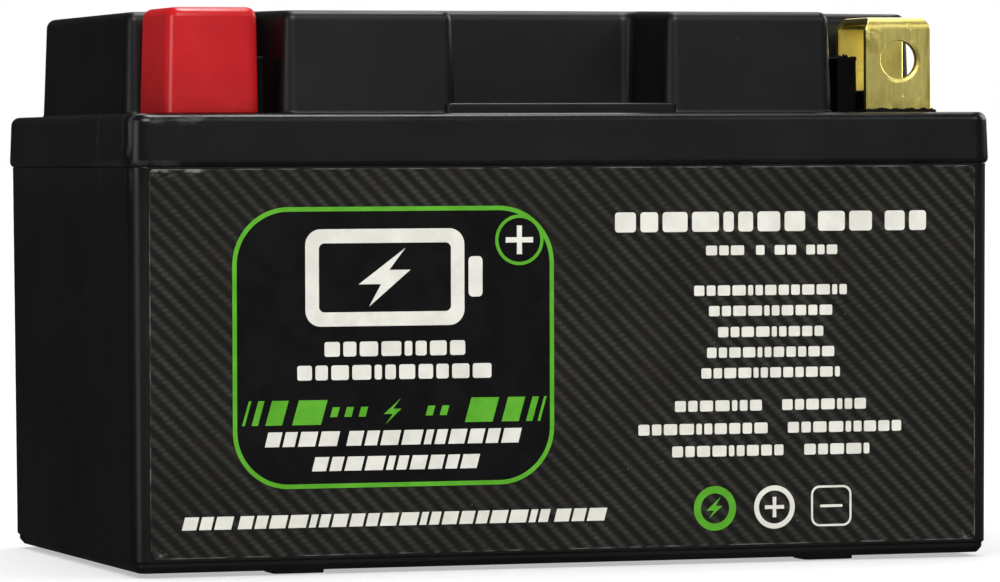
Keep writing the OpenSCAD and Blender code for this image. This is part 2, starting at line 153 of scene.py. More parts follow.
class Shell:
    """Collects vertices and faces of one piece, in millimetres."""

    def __init__(self):
        self.verts = []
        self.faces = []

    def add(self, points):
        start = len(self.verts)
        self.verts.extend(tuple(p) for p in points)
        return list(range(start, start + len(points)))

    def bridge(self, a, b):
        n = len(a)
        for i in range(n):
            j = (i + 1) % n
            self.faces.append((a[i], a[j], b[j], b[i]))

    def loft(self, rings, start_cap=True, end_cap=True):
        """Joins rings in order; seen from the end ring outward the rings run counter-clockwise."""
        loops = [self.add(r) for r in rings]
        for a, b in zip(loops, loops[1:]):
            self.bridge(a, b)
        if start_cap:
            self.faces.append(tuple(reversed(loops[0])))
        if end_cap:
            self.faces.append(tuple(loops[-1]))
        return loops

    def plate(self, outer, inner, up):
        """Flat face between an outer loop and the hole loops inside it; each is a list of indices."""
        loops = [outer] + inner
        flat = [i for loop in loops for i in loop]
        polys = [[Vector((self.verts[i][0], self.verts[i][1], 0)) for i in loop] for loop in loops]
        for tri in tessellate_polygon(polys):
            a, b, c = (flat[t] for t in tri)
            ax, ay = self.verts[a][:2]
            bx, by = self.verts[b][:2]
            cx, cy = self.verts[c][:2]
            turn = (bx - ax) * (cy - ay) - (by - ay) * (cx - ax)
            self.faces.append((a, b, c) if (turn > 0) == up else (a, c, b))

    def make(self, name, material, body="battery", angle=35, weighted=True):
        return dress(mesh_object(name, self.verts, self.faces), material, body, angle, weighted)


def smooth(obj, angle, weighted=True):
    """Smooth shading that keeps the edges sharper than an angle in degrees."""
    mesh = obj.data
    mesh.polygons.foreach_set("use_smooth", [True] * len(mesh.polygons))
    mesh.set_sharp_from_angle(angle=math.radians(angle))
    if weighted:
        normals = obj.modifiers.new("normals", "WEIGHTED_NORMAL")
        normals.keep_sharp = True


def dress(obj, material, body, angle=35, weighted=True):
    """Gives a piece its material, its shading and the body that it rides on."""
    obj.data.materials.clear()
    obj.data.materials.append(material)
    smooth(obj, angle, weighted)
    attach(obj, body)
    return obj


def cut(obj, cutter):
    """Takes the cutter's volume out of a piece and keeps the result as its mesh."""
    obj.modifiers.clear()
    mod = obj.modifiers.new("cut", "BOOLEAN")
    mod.operation = "DIFFERENCE"
    mod.solver = "EXACT"
    mod.object = cutter
    bpy.context.view_layer.update()
    depsgraph = bpy.context.evaluated_depsgraph_get()
    mesh = bpy.data.meshes.new_from_object(obj.evaluated_get(depsgraph), depsgraph=depsgraph)
    obj.modifiers.clear()
    old = obj.data
    obj.data = mesh
    bpy.data.meshes.remove(old)
    bpy.data.objects.remove(cutter)


def cutter_box(x0, x1, y0, y1, z0, z1):
    """Upright box with slightly rounded corners, to be cut out of a piece."""
    box = Shell()
    corners = box_corners(x0, x1, y0, y1, 0.4)
    box.loft([ring(corners, 0, z0, 3), ring(corners, 0, z1, 3)])
    return mesh_object("cutter", box.verts, box.faces)


def drill(x, y0, y1, z, radius, lip):
    """Rod along Y that cuts a hole between two faces and breaks both its edges."""
    sides = 48
    spare = 2
    profile = ((y0 - spare, lip), (y0 - 0.001, lip), (y0 + lip * 0.35, lip * 0.35), (y0 + lip, 0),
               (y1 - lip, 0), (y1 - lip * 0.35, lip * 0.35), (y1 + 0.001, lip), (y1 + spare, lip))
    loops = []
    for y, extra in profile:
        r = radius + extra
        loops.append([(x + r * math.cos(2 * math.pi * k / sides), y,
                       z + r * math.sin(2 * math.pi * k / sides)) for k in range(sides)])
    rod = Shell()
    rod.loft([list(reversed(loop)) for loop in loops])
    return mesh_object("drill", rod.verts, rod.faces)


def top_edge(rise, edge, lean, base_z, steps=6):
    """(inset, z) pairs over a rounded upper edge, from the wall to the flat top."""
    k = math.sqrt(1 + lean * lean)
    cz = rise - edge
    start = math.atan(lean)
    pairs = []
    for i in range(steps + 1):
        a = start + (math.pi / 2 - start) * i / steps
        pairs.append((lean * cz + edge * k - edge * math.cos(a), base_z + cz + edge * math.sin(a)))
    return pairs


def soft_island(shell, corners, z0, z1, lean, edge, steps=6):
    """Closed block with leaning walls and a rounded upper edge, added to a shell."""
    rings = [ring(corners, 0, z0, steps)]
    for inset, z in top_edge(z1 - z0, edge, lean, z0):
        rings.append(ring(corners, inset, z, steps))
    shell.loft(rings)


def side_island(shell, side, near, far, y0, y1, r, z0, z1, lean, edge):
    """Soft island on one side of the battery, between two distances from its middle."""
    x0, x1 = sorted((side * near, side * far))
    soft_island(shell, box_corners(x0, x1, y0, y1, r), z0, z1, lean, edge, 4)


# ---- material helpers

class Tree:
    """Short calls for building one material's nodes."""

    def __init__(self, name):
        self.material = bpy.data.materials.new(name)
        self.material.use_nodes = True
        self.tree = self.material.node_tree
        self.bsdf = self.tree.nodes["Principled BSDF"]
        self.coord = self.tree.nodes.new("ShaderNodeTexCoord").outputs["Object"]

    def put(self, socket, value):
        if isinstance(value, bpy.types.NodeSocket):
            self.tree.links.new(value, socket)
        else:
            socket.default_value = value

    def math(self, op, a, b=None, clamp=False):
        """One Math node; its operands are numbers or sockets."""
        n = self.tree.nodes.new("ShaderNodeMath")
        n.operation = op
        n.use_clamp = clamp
        for socket, value in zip(n.inputs, (a, b)):
            if value is not None:
                self.put(socket, value)
        return n.outputs[0]

    def noise(self, scale, detail=3, rough=0.6, where=None, stretch=None):
        """Noise from 0 to 1 in object space, its scale counted per metre."""
        source = where or self.coord
        if stretch:
            m = self.tree.nodes.new("ShaderNodeMapping")
            m.inputs["Scale"].default_value = stretch
            self.put(m.inputs["Vector"], source)
            source = m.outputs[0]
        n = self.tree.nodes.new("ShaderNodeTexNoise")
        n.inputs["Scale"].default_value = scale
        n.inputs["Detail"].default_value = detail
        n.inputs["Roughness"].default_value = rough
        self.put(n.inputs["Vector"], source)
        return n.outputs["Fac"]

    def times(self, a, b):
        return self.math("MULTIPLY", a, b)

    def minus(self, a, b):
        return self.math("SUBTRACT", a, b)

    def spread(self, value, low, high, to_low=0.0, to_high=1.0):
        """Smooth step of a value: to_low at low, to_high at high. Low may be above high."""
        n = self.tree.nodes.new("ShaderNodeMapRange")
        n.interpolation_type = "SMOOTHSTEP"
        for key, v in (("Value", value), ("From Min", low), ("From Max", high),
                       ("To Min", to_low), ("To Max", to_high)):
            self.put(n.inputs[key], v)
        return n.outputs["Result"]

    def mix(self, factor, a, b):
        n = self.tree.nodes.new("ShaderNodeMix")
        n.data_type = "RGBA"
        self.put(n.inputs["Factor"], factor)
        for socket, value in ((n.inputs[6], a), (n.inputs[7], b)):
            self.put(socket, (*value, 1.0) if isinstance(value, tuple) and len(value) == 3 else value)
        return n.outputs[2]

    def tint(self, color, mask, amount, other):
        """The colour, with part of another one where the mask is on."""
        return self.mix(self.times(mask, amount), color, other)

    def axes(self):
        n = self.tree.nodes.new("ShaderNodeSeparateXYZ")
        self.put(n.inputs[0], self.coord)
        return n.outputs[0], n.outputs[1], n.outputs[2]

    def bump(self, height, distance, strength=1.0, after=None):
        n = self.tree.nodes.new("ShaderNodeBump")
        n.inputs["Strength"].default_value = strength
        n.inputs["Distance"].default_value = distance
        self.put(n.inputs["Height"], height)
        if after is not None:
            self.put(n.inputs["Normal"], after)
        return n.outputs[0]

    def finish(self, color, rough, normal, **fixed):
        self.put(self.bsdf.inputs["Base Color"], color)
        self.put(self.bsdf.inputs["Roughness"], rough)
        self.put(self.bsdf.inputs["Normal"], normal)
        for key, value in fixed.items():
            self.bsdf.inputs[key.replace("_", " ")].default_value = value
        return self.material


def scratches(t, scale, angle, stretch, low, high):
    """Mask of thin stretched streaks at an angle in the XZ plane."""
    m = t.tree.nodes.new("ShaderNodeMapping")
    m.inputs["Rotation"].default_value = (0, math.radians(angle), 0)
    t.put(m.inputs["Vector"], t.coord)
    return t.spread(t.noise(scale, 2, 0.5, m.outputs[0], stretch), low, high)


def skirt_wear(t):
    """Masks of the scuffs round the skirt's front-left corner and of the whole skirt."""
    x, y, z = t.axes()
    left_wall = t.spread(x, -0.0700, -0.0716)
    skirt_band = t.times(t.spread(z, 0.0600, 0.0664), t.spread(z, 0.0752, 0.0742))
    wander = t.math("ADD", y, t.times(t.noise(120, 2, 0.5), 0.0012))
    broken = t.spread(t.noise(330, 4, 0.65, stretch=(1.0, 3.0, 0.6)), 0.36, 0.62)
    # upright rub marks on the left wall: distance from the middle plane, half width, strength
    rubbed = 0.0
    for place, width, amount in ((0.0222, 0.0005, 0.7), (0.0384, 0.0011, 0.6), (0.0408, 0.0006, 1.0)):
        mark = t.spread(t.math("ABSOLUTE", t.math("ADD", wander, place)), width, width * 0.25)
        rubbed = t.math("MAXIMUM", rubbed, t.times(mark, amount))
    rubbed = t.times(rubbed, broken)
    rubbed = t.times(rubbed, t.times(left_wall, skirt_band))
    # scraped lower edge by the corner
    scrape_z = t.times(t.spread(z, 0.0660, 0.0664), t.spread(z, 0.0674, 0.0669))
    scrape_x = t.times(t.spread(x, -0.062, -0.070), t.spread(y, -0.012, -0.030))
    scrape = t.times(t.times(scrape_x, scrape_z), broken)
    # smear along the upper edge of the front
    smear_x = t.times(t.spread(x, -0.0725, -0.0700), t.spread(x, -0.056, -0.060))
    smear_z = t.times(t.spread(z, 0.0726, 0.0733), t.spread(z, 0.0746, 0.0741))
    smear = t.times(t.times(smear_x, smear_z), t.spread(y, -0.038, -0.042))
    streaks = t.spread(t.noise(420, 4, 0.7, stretch=(0.5, 1.0, 2.0)), 0.42, 0.62)
    smear = t.times(smear, streaks)
    scuff = t.math("MAXIMUM", rubbed, t.times(scrape, 0.5))
    scuff = t.math("MAXIMUM", scuff, smear, clamp=True)
    return scuff, skirt_band


def black_plastic():
    """Semi-gloss moulded black of the case and lid, scuffed at one corner."""
    t = Tree("moulded_black_plastic")
    tone = t.noise(60, 4, 0.6)
    color = t.mix(t.spread(tone, 0.3, 0.7), (0.0034, 0.0035, 0.0042), (0.0058, 0.0060, 0.0068))
    scuff, skirt = skirt_wear(t)
    color = t.tint(color, scuff, 0.42, (0.085, 0.09, 0.095))
    # fine specks of dust and hairline marks all over
    speck = t.spread(t.noise(1500, 2, 0.5), 0.755, 0.80)
    line = scratches(t, 190, 25, (1.0, 1.0, 22.0), 0.74, 0.80)
    marks = t.math("MAXIMUM", speck, t.times(line, 0.5))
    color = t.tint(color, marks, 0.28, (0.15, 0.15, 0.155))
    # the skirt is a little smoother than the rest, and duller where it is scuffed
    shift = t.minus(t.times(scuff, 0.2), t.times(skirt, 0.10))
    rough = t.math("ADD", t.spread(t.noise(35, 4, 0.6), 0.3, 0.7, 0.34, 0.44), shift)
    grain = t.bump(t.noise(2600), 0.00002, 0.5)
    waves = t.bump(t.noise(90, 2, 0.5), 0.00006, 0.5, grain)
    return t.finish(color, rough, waves, Specular_IOR_Level=0.42)


def pocket_plastic():
    """Deep black of the seats and ribs beside the terminals."""
    t = Tree("pocket_black_plastic")
    tone = t.noise(90, 4, 0.6)
    color = t.mix(t.spread(tone, 0.3, 0.7), (0.0014, 0.0014, 0.0015), (0.0034, 0.0034, 0.0036))
    speck = t.spread(t.noise(1500, 2, 0.5), 0.74, 0.80)
    color = t.tint(color, speck, 0.3, (0.05, 0.05, 0.05))
    rough = t.spread(t.noise(50, 4, 0.6), 0.3, 0.7, 0.45, 0.6)
    return t.finish(color, rough, t.bump(t.noise(1800), 0.00003, 0.6), Specular_IOR_Level=0.07)


def red_plastic():
    """Smooth red of the terminal cap, a little wavy."""
    t = Tree("red_cap_plastic")
    tone = t.noise(120, 4, 0.6)
    color = t.mix(t.spread(tone, 0.3, 0.7), (0.375, 0.0072, 0.0095), (0.44, 0.0098, 0.0125))
    speck = t.spread(t.noise(900, 2, 0.5), 0.74, 0.80)
    color = t.tint(color, speck, 0.35, (0.75, 0.30, 0.30))
    rough = t.spread(t.noise(70, 4, 0.6), 0.3, 0.7, 0.26, 0.36)
    normal = t.bump(t.noise(900, 2, 0.5), 0.00001, 0.25)
    normal = t.bump(t.noise(130, 2, 0.5), 0.00008, 0.4, normal)
    return t.finish(color, rough, normal, Specular_IOR_Level=0.24)


def brass():
    """Brushed brass with patina, scratches, small dents, metal pressed in round the hole, and painted shade
    at its foot and along its outer edges.
    """
    t = Tree("brushed_brass")
    x, y, z = t.axes()
    tone = t.spread(t.noise(140, 5, 0.6), 0.32, 0.68)
    color = t.mix(tone, (0.75, 0.620, 0.158), (0.85, 0.725, 0.226))
    patina = t.spread(t.noise(420, 5, 0.7), 0.56, 0.74)
    color = t.tint(color, patina, 0.35, (0.36, 0.26, 0.09))
    # painted shade: darker and blotchy towards the foot of the strip, where it meets the lid
    foot = t.times(t.spread(z, 0.0790, 0.0752), t.spread(t.noise(500, 4, 0.6), 0.35, 0.7))
    color = t.tint(color, foot, 0.5, (0.30, 0.22, 0.08))
    brushed = t.noise(220, stretch=(20.0, 20.0, 1.0))
    scratch = scratches(t, 300, 38, (1.0, 1.0, 14.0), 0.66, 0.74)
    rough = t.math("ADD", t.spread(brushed, 0.25, 0.75, 0.30, 0.38), t.times(patina, 0.14))
    normal = t.bump(brushed, 0.00002, 0.12)
    normal = t.bump(t.noise(2200), 0.00001, 0.35, normal)
    normal = t.bump(scratch, 0.00003, 0.22, normal)
    normal = t.bump(t.noise(260, 3, 0.5), 0.00012, 0.22, normal)
    # metal pressed in round the hole, deeper below it and on its outer side
    dx = t.minus(t.math("ABSOLUTE", x), POST_X * MM)
    dz = t.minus(z, HOLE_Z * MM)
    radius = t.math("SQRT", t.math("ADD", t.times(dx, dx), t.times(dz, dz)))
    low_right = t.minus(t.times(dx, 0.75), t.times(dz, 0.65))
    turn_in = t.spread(t.math("DIVIDE", low_right, 0.0033), -0.1, 0.9)
    on_front = t.spread(y, -0.0368, -0.0374)
    pressed = t.times(t.times(t.spread(radius, 0.0031, 0.0040), turn_in), on_front)
    normal = t.bump(t.math("ADD", pressed, t.minus(1.0, turn_in)), 0.00035, 0.6, normal)
    # a painted shade line inside the outer edge, standing in for the shade of a bevel and broken up by noise,
    # and a crinkled patch by the bend
    bevel_shade_line = t.times(t.spread(dx, 0.0047, 0.0052), t.spread(dx, 0.0057, 0.0054))
    line_breaks = t.spread(t.noise(260, 4, 0.6, stretch=(1, 1, 0.5)), 0.34, 0.60)
    bevel_shade_line = t.times(bevel_shade_line, line_breaks)
    bevel_shade_line = t.times(bevel_shade_line, on_front)
    color = t.tint(color, bevel_shade_line, 0.5, (0.26, 0.21, 0.07))
    patch = t.times(t.spread(dx, -0.0022, -0.0052), t.spread(z, 0.0848, 0.0874))
    patch = t.times(t.times(patch, t.spread(z, 0.0896, 0.0882)), on_front)
    normal = t.bump(t.times(t.noise(800, 2, 0.5), patch), 0.0004, 0.5, normal)
    dents = t.spread(t.noise(480, 2, 0.5), 0.70, 0.77)
    normal = t.bump(t.times(dents, -1.0), 0.00010, 0.35, normal)
    return t.finish(color, rough, normal, Metallic=1.0)


def twill(t):
    """Height of a two-by-two twill in the plane of the label, from 0 to about 1."""
    x, _, z = t.axes()
    cell = TWILL_CELL * MM
    px = t.math("DIVIDE", x, cell)
    pv = t.times(t.math("DIVIDE", z, cell), -1.0)
    column = t.math("FLOOR", px)
    row = t.math("FLOOR", pv)
    s = t.math("FLOORED_MODULO", t.minus(px, row), 4.0)
    q = t.math("FLOORED_MODULO", t.minus(column, pv), 4.0)
    weft_on = t.math("LESS_THAN", s, 2.0)

    def hump(value):
        return t.math("SINE", t.times(value, math.pi), clamp=True)

    weft_across = hump(t.math("FRACT", pv))
    weft_along = t.math("POWER", hump(t.math("DIVIDE", s, 2.0)), 0.8)
    warp_across = hump(t.math("FRACT", px))
    warp_along = hump(t.math("DIVIDE", t.minus(q, 1.0), 2.0))
    weft = t.times(weft_along, t.math("ADD", 0.45, t.times(weft_across, 0.55)))
    warp = t.times(t.times(warp_across, warp_along), 0.16)
    height = t.math("ADD", t.times(weft, weft_on),
                    t.times(warp, t.minus(1.0, weft_on)))
    # soft diagonal sheen that ties the crossings together
    phase = t.times(t.minus(t.minus(px, pv), 0.5), math.pi / 2)
    sheen = t.math("ADD", 0.5, t.times(t.math("COSINE", phase), 0.5))
    height = t.math("ADD", t.times(height, 0.62), t.times(sheen, 0.42))
    return height


def film_edges(t, color):
    """The film's colour with pale nicks at its corners, a light rim and glue along its top edge."""
    x, _, z = t.axes()
    edge_x = t.spread(t.math("ABSOLUTE", x), 0.0655, 0.0712)
    edge_z = t.spread(t.math("ABSOLUTE", t.minus(z, 0.0342)), 0.0290, 0.0313)
    rim_x = t.spread(t.math("ABSOLUTE", x), 0.07118, 0.07132)
    rim_z = t.spread(t.math("ABSOLUTE", t.minus(z, 0.03435)), 0.03118, 0.03130)
    rim = t.times(t.math("MAXIMUM", rim_x, rim_z), t.spread(t.noise(260), 0.40, 0.62))
    color = t.tint(color, rim, 0.7, (0.16, 0.165, 0.16))
    nick = t.times(t.times(edge_x, edge_z),
                  t.spread(t.noise(700, 4, 0.7), 0.55, 0.66))
    color = t.tint(color, nick, 0.4, (0.30, 0.31, 0.31))
    ragged = t.times(t.minus(t.noise(420), 0.5), 0.0016)
    glue_z = t.spread(t.math("ADD", z, ragged), 0.0650, 0.0656)
    glue_x = t.math("MAXIMUM", t.spread(t.math("ABSOLUTE", t.math("ADD", x, 0.0698)), 0.0020, 0.0010),
                    t.spread(t.math("ABSOLUTE", t.math("ADD", x, 0.0640)), 0.0019, 0.0008))
    smeared = t.spread(t.noise(300), 0.34, 0.60)
    glue = t.times(t.times(glue_x, glue_z), smeared)
    color = t.tint(color, glue, 0.8, (0.21, 0.22, 0.19))
    return color


def carbon_film():
    """Printed woven-carbon pattern: a two-by-two twill under a clear film."""
    t = Tree("carbon_print_film")
    height = twill(t)
    patch = t.spread(t.noise(45), 0.3, 0.7, 0.72, 1.15)
    fibre = t.spread(t.noise(1500, 2, 0.5, stretch=(0.5, 1.0, 2.5)), 0.25, 0.75, 0.75, 1.2)
    light = t.math("MULTIPLY", t.times(height, patch), fibre, clamp=True)
    color = t.mix(light, (0.0052, 0.0051, 0.0038), (0.0355, 0.0348, 0.0275))
    warm = t.spread(t.noise(150), 0.5, 0.75)
    color = t.tint(color, warm, 0.25, (0.024, 0.017, 0.011))
    color = film_edges(t, color)
    speck = t.spread(t.noise(1300, 2, 0.5), 0.765, 0.81)
    color = t.tint(color, speck, 0.5, (0.22, 0.22, 0.21))
    rough = t.spread(t.noise(30, 4, 0.6), 0.3, 0.7, 0.34, 0.46)
    normal = t.bump(height, 0.00003, 0.25)
    normal = t.bump(t.noise(110, 3, 0.5), 0.00005, 0.5, normal)
    return t.finish(color, rough, normal, Specular_IOR_Level=0.25)


def ink(name, low, high, rough_low=0.35, rough_high=0.5, specular=0.2):
    """Printed ink: two tones, small pits and an uneven gloss."""
    t = Tree(name)
    color = t.mix(t.spread(t.noise(240, 4, 0.65), 0.3, 0.7), low, high)
    pits = t.spread(t.noise(1700), 0.68, 0.76)
    color = t.tint(color, pits, 0.35, tuple(v * 0.55 for v in low))
    rough = t.spread(t.noise(60), 0.3, 0.7, rough_low, rough_high)
    normal = t.bump(t.noise(1800), 0.00001, 0.4)
    return t.finish(color, rough, normal, Specular_IOR_Level=specular)


def inner_finish(name, low, high, metallic=0.0, rough=(0.4, 0.6), scale=300, grain=1200):
    """Finish for the sealed pieces inside: two tones, uneven gloss and a fine grain."""
    t = Tree(name)
    color = t.mix(t.spread(t.noise(scale, 4, 0.6), 0.3, 0.7), low, high)
    gloss = t.spread(t.noise(scale * 0.6), 0.3, 0.7, rough[0], rough[1])
    normal = t.bump(t.noise(grain), 0.00003, 0.5)
    return t.finish(color, gloss, normal, Metallic=metallic)


BLACK = black_plastic()
POCKET = pocket_plastic()
RED = red_plastic()
BRASS = brass()
CARBON = carbon_film()
BADGE_BLACK = ink("badge_black_ink", (0.0022, 0.0022, 0.0025), (0.0045, 0.0045, 0.0048), 0.34, 0.46)
GREEN = ink("green_ink", (0.078, 0.33, 0.014), (0.105, 0.40, 0.024))
WHITE = ink("warm_white_ink", (0.66, 0.65, 0.585), (0.76, 0.75, 0.68))

# ---- case

case_corners = box_corners(-CASE_X, CASE_X, -CASE_Y, CASE_Y, CASE_CORNER)
bay_corners = box_corners(-INSIDE_X, INSIDE_X, -INSIDE_Y, INSIDE_Y, 2.0)
# (inset, height) pairs: edge of the underside, foot step, wall, shoulder and rim
outer_profile = [(2.0, 0.6), (1.35, 0.62), (1.15, 0.72), (0.52, 1.42), (0.42, 1.6), (0.4, 1.75),
                 (0.4, 2.2), (0.34, 2.34), (0.12, 2.42), (0.0, FOOT_LINE)]
for k in range(1, 13):
    z = FOOT_LINE + (SHOULDER - 0.2 - FOOT_LINE) * k / 12
    outer_profile.append((-FLARE * (z - FLARE_START), z))
outer_profile += [(-0.36, SHOULDER - 0.05), (-0.26, SHOULDER), (1.4, SHOULDER), (1.4, RIM - 0.2), (1.6, RIM)]
inner_profile = [(-0.2, RIM), (0, RIM - 0.2), (0, 4.2), (0.3, 3.5), (1.0, 3.2)]
tub = Shell()
tub.loft([ring(case_corners, inset, z) for inset, z in outer_profile]
         + [ring(bay_corners, inset, z) for inset, z in inner_profile])
for sx in (-1, 1):
    for sy in (-1, 1):
        foot = box_corners(sx * 46 - 4.4, sx * 46 + 4.4, sy * 37.5 - 3, sy * 37.5 + 3, 0.8)
        tub.loft([ring(foot, inset, z, 3) for inset, z in ((0.25, 0.0), (0.08, 0.06), (0, 0.25), (0, 0.9))])
# two low stops on the tub's floor beside the lower tray
for side in (-1, 1):
    side_island(tub, side, 55.0, 56.2, -11.25, 28.75, 0.25, 3.0, 6.2, 0.02, 0.25)
case_obj = tub.make("case_tub", BLACK)
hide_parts("case")

# ---- lid

def comb_outline(end_x, front, back, block_in, block_out, block_front, end_r, notch_r, block_r):
    """Outline of the long back block with the two blocks in front of it."""
    corners = [(end_x, front, end_r), (end_x, back, end_r), (-end_x, back, end_r), (-end_x, front, end_r)]
    for x0, x1 in ((-block_out, -block_in), (block_in, block_out)):
        corners += [(x0, front, notch_r), (x0, block_front, block_r),
                    (x1, block_front, block_r), (x1, front, notch_r)]
    return corners


comb = comb_outline(COMB_X, COMB_FRONT, COMB_BACK, BLOCK_IN, BLOCK_OUT, BLOCK_FRONT, 2.4, 1.5, 2.6)
# the corner behind the negative terminal is rounder than the others
comb[0] = (COMB_X, COMB_FRONT, 4.0)
hollow = comb_outline(67.2, -18.9, 36.4, 20.2, 45.8, -36.7, 3, 0.6, 1.2)
skirt = box_corners(-SKIRT_X, SKIRT_X, -SKIRT_Y, SKIRT_Y, SKIRT_CORNER)
bay = box_corners(-72.9, 72.9, -41.4, 41.4, 2.4)

top = Shell()
comb_rings = []
base_fillet = 0.5
for k in range(4):
    a = math.pi / 2 * (1 - k / 3)
    comb_rings.append(ring(comb, -(base_fillet - base_fillet * math.cos(a)),
                           DECK + base_fillet - base_fillet * math.sin(a)))
for k in range(1, 5):
    z = DECK + base_fillet + (BLOCK_TOP - BLOCK_EDGE - DECK - base_fillet - 0.3) * k / 4
    comb_rings.append(ring(comb, LEAN * (z - DECK), z))
for inset, z in top_edge(BLOCK_TOP - DECK, BLOCK_EDGE, LEAN, DECK, 7):
    comb_rings.append(ring(comb, inset, z))
comb_loops = top.loft(comb_rings, start_cap=False)

skirt_rings = [ring(bay, 0, BAY_TOP, 8), ring(bay, 0, SKIRT_LOW + 0.3, 8), ring(bay, -0.2, SKIRT_LOW, 8)]
for k in range(5):
    a = math.pi / 2 * k / 4
    skirt_rings.append(ring(skirt, 0.75 - 0.72 * math.sin(a), SKIRT_LOW + 0.95 * (1 - math.cos(a)), 8))
skirt_rings += [ring(skirt, LEAN * 2.5, SKIRT_LOW + 2.5, 8), ring(skirt, LEAN * 4.8, SKIRT_LOW + 4.8, 8)]
for inset, z in top_edge(DECK - SKIRT_LOW, 1.5, LEAN, SKIRT_LOW, 7):
    skirt_rings.append(ring(skirt, inset, z, 8))
skirt_loops = top.loft(skirt_rings, start_cap=False, end_cap=False)
top.plate(skirt_loops[-1], [comb_loops[0]], True)

low = top.add(ring(hollow, 0, BAY_TOP))
high = top.add(ring(hollow, 0.4, 89.1))
top.bridge(high, low)
top.faces.append(tuple(reversed(high)))
top.plate(skirt_loops[0], [low], False)

# ledge between the front blocks
soft_island(top, box_corners(-20.4, 19.6, -40.3, -18, 0.9), 74.0, 76.3, 0.02, 0.35, 4)
lid_obj = top.make("lid_moulding", BLACK)


def crown_top(obj, rise=0.5, step=12):
    """Cuts the flat top into a grid and raises it a little towards the middle of the long back wall."""
    bm = bmesh.new()
    bm.from_mesh(obj.data)
    for axis, count in ((0, 66 // step), (1, 36 // step)):
        for k in range(-count, count + 1):
            faces = [f for f in bm.faces if min(v.co.z for v in f.verts) > (BLOCK_TOP - 0.02) * MM]
            parts = set(faces)
            for f in faces:
                parts.update(f.edges)
                parts.update(f.verts)
            normal = [0, 0, 0]
            normal[axis] = 1
            point = [0, 0, 0]
            point[axis] = k * step * MM
            bmesh.ops.bisect_plane(bm, geom=list(parts), plane_co=point, plane_no=normal)
    start = 80
    for v in bm.verts:
        x, y, z = v.co / MM
        if z > start:
            back = min(1, max(0, (y + 37) / 16))
            across = math.cos(math.pi * min(1, abs(x) / SKIRT_X) / 2) ** 2
            v.co.z += rise * (0.25 + 0.75 * across) * back * (z - start) / (BLOCK_TOP - start) * MM
    bm.to_mesh(obj.data)
    bm.free()


crown_top(lid_obj)
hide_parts("lid")

# ---- terminal seats and torn flash

# a pad under each terminal, a seat for its nut and a rib beside it; the pad under the cap is smaller
seats = Shell()
for side, near, far, forward in ((-1, 5.95, 5.95, 0.12), (1, 6.4, 6.95, 0.8)):
    side_island(seats, side, POST_X - near, POST_X + far, POST_FRONT - forward, -23.6, 0.9,
                74.2, 75.2, 0.3, 0.15)
    side_island(seats, side, POST_X - 5.65, POST_X + 5.55, -36.95, -25.6, 0.4, 74.4, 78.4, 0.01, 0.3)
    side_island(seats, side, 49.65, 53.5, -35.3, -28.5, 0.7, 74.2, 84.0, 0.015, 0.45)
seats_obj = seats.make("terminal_seats", POCKET)


def ragged_fin(shell, start, end, thick, z0, heights):
    """Thin torn flash of plastic along a line, with an uneven top."""
    a = Vector(start)
    b = Vector(end)
    side = Vector((-(b - a).y, (b - a).x)).normalized() * thick / 2
    n = len(heights)
    low_a, high_a, low_b, high_b = [], [], [], []
    for i, h in enumerate(heights):
        p = a.lerp(b, i / (n - 1))
        low_a.append((p.x + side.x, p.y + side.y, z0))
        high_a.append((p.x + side.x * 0.3, p.y + side.y * 0.3, z0 + h))
        low_b.append((p.x - side.x, p.y - side.y, z0))
        high_b.append((p.x - side.x * 0.3, p.y - side.y * 0.3, z0 + h * 0.96))
    la, ha, lb, hb = (shell.add(v) for v in (low_a, high_a, low_b, high_b))
    for i in range(n - 1):
        shell.faces.append((la[i + 1], la[i], ha[i], ha[i + 1]))
        shell.faces.append((lb[i], lb[i + 1], hb[i + 1], hb[i]))
        shell.faces.append((ha[i], hb[i], hb[i + 1], ha[i + 1]))
        shell.faces.append((la[i], la[i + 1], lb[i + 1], lb[i]))
    shell.faces.append((la[0], lb[0], hb[0], ha[0]))
    shell.faces.append((la[-1], ha[-1], hb[-1], lb[-1]))


def torn_edge(count, low, high, dice):
    """Uneven heights along a torn edge: a slow swell with small teeth on it."""
    heights = []
    level = (low + high) / 2
    for _ in range(count):
        level = min(high, max(low, level + dice.uniform(-0.35, 0.35) * (high - low)))
        heights.append(level + dice.choice((0, 0, 0.25)) * (high - low))
    return heights


dice = random.Random(7)
flash = Shell()
ragged_fin(flash, (54.0, -38.36), (65.5, -38.36), 0.3, 75.1, torn_edge(70, 0.12, 0.42, dice))
ragged_fin(flash, (65.78, -38.2), (65.78, -25.0), 0.3, 75.1, torn_edge(60, 0.08, 0.30, dice))
ragged_fin(flash, (50.1, -35.1), (53.3, -35.1), 0.3, 83.4,
           [0.75, 0.95, 0.7, 1.25, 0.85, 1.1, 0.6, 0.5, 0.8, 0.65, 0.75, 0.6])
flash_obj = flash.make("moulding_flash", POCKET, angle=20, weighted=False)

# ---- cap over the positive terminal

def with_front(points, bulge):
    """Adds points along the front side of a ring, from its last point to its first, bulging forward."""
    first, last = Vector(points[0]), Vector(points[-1])
    count = 12
    extra = []
    for k in range(1, count):
        p = last.lerp(first, k / count)
        extra.append((p.x, p.y - bulge * math.sin(math.pi * k / count), p.z))
    return points + extra


def cap_ring(z, inset=0.0, bulge=0.3):
    """Outline of the cap at a height; its left side leans more than its right."""
    h = z - CAP_LOW
    corners = box_corners(-67.6 + 0.028 * h, -51.85 - 0.010 * h, -40.0 + 0.02 * h, -21.0 - 0.02 * h, 2.1)
    return with_front(ring(corners, inset, z), bulge)


